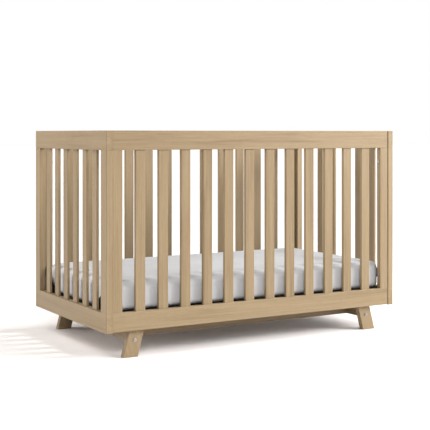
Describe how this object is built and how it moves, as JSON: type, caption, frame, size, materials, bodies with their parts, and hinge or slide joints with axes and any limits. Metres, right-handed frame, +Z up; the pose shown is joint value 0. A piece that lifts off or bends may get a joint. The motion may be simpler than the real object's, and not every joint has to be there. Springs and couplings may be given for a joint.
{
  "type": "baby crib",
  "caption": "Full-size baby crib with slatted wooden panels, splayed board legs, a hanging steel mattress support and a mattress.",
  "frame": {"origin": "on the floor under the middle of the crib", "axes": "+X along the crib's length, from the left end to the right; the front faces -Y; +Z up"},
  "size_m": [1.385, 0.752, 0.871],
  "materials": {
    "light_oak": "satin",
    "dowel_beech": "matte",
    "zinc_bolt": "satin",
    "brass_insert": "satin",
    "black_steel": "satin",
    "spring_steel": "satin",
    "mattress_fabric": "matte",
    "foam": "matte"
  },
  "bodies": {
    "crib_frame": {"front_top_rail": "light_oak", "front_bottom_rail": "light_oak", "front_slats": "light_oak", "front_stretcher": "light_oak", "front_left_stile": "light_oak", "front_left_leg": "light_oak", "front_right_stile": "light_oak", "front_right_leg": "light_oak", "back_top_rail": "light_oak", "back_bottom_rail": "light_oak", "back_slats": "light_oak", "back_stretcher": "light_oak", "back_left_stile": "light_oak", "back_left_leg": "light_oak", "back_right_stile": "light_oak", "back_right_leg": "light_oak", "left_end_top_rail": "light_oak", "left_end_bottom_rail": "light_oak", "left_end_slats": "light_oak", "left_cross_rail": "light_oak", "left_end_front_stile": "light_oak", "left_end_back_stile": "light_oak", "right_end_top_rail": "light_oak", "right_end_bottom_rail": "light_oak", "right_end_slats": "light_oak", "right_cross_rail": "light_oak", "right_end_front_stile": "light_oak", "right_end_back_stile": "light_oak", "side_panel_dowels": "dowel_beech", "end_panel_dowels": "dowel_beech", "base_dowels": "dowel_beech", "panel_bolts": "zinc_bolt", "leg_bolts": "zinc_bolt", "leg_washers": "zinc_bolt", "leg_barrel_nuts": "zinc_bolt", "leg_rail_bolts": "zinc_bolt", "stretcher_bolts": "zinc_bolt", "stretcher_barrel_nuts": "zinc_bolt", "hanger_bolts": "zinc_bolt", "panel_inserts": "brass_insert", "leg_rail_inserts": "brass_insert", "hanger_inserts": "brass_insert"},
    "mattress_support": {"front_left_hanger": "black_steel", "front_right_hanger": "black_steel", "support_front_rail": "black_steel", "back_left_hanger": "black_steel", "back_right_hanger": "black_steel", "support_back_rail": "black_steel", "support_left_rail": "black_steel", "support_right_rail": "black_steel", "support_cross_bars": "black_steel", "corner_rivets": "black_steel", "hanger_rivets": "black_steel", "deck_long_wires": "spring_steel", "deck_cross_wires": "spring_steel", "deck_springs": "spring_steel"},
    "mattress": {"mattress_cover": "mattress_fabric", "mattress_core": "foam"}
  },
  "joints": [
    {"name": "support_height", "type": "slide", "parent": "crib_frame", "child": "mattress_support", "axis": [0, 0, 1], "range_m": [0, 0.23]},
    {"name": "mattress_lift", "type": "slide", "parent": "mattress_support", "child": "mattress", "axis": [0, 0, 1], "range_m": [0, 0.7]}
  ]
}
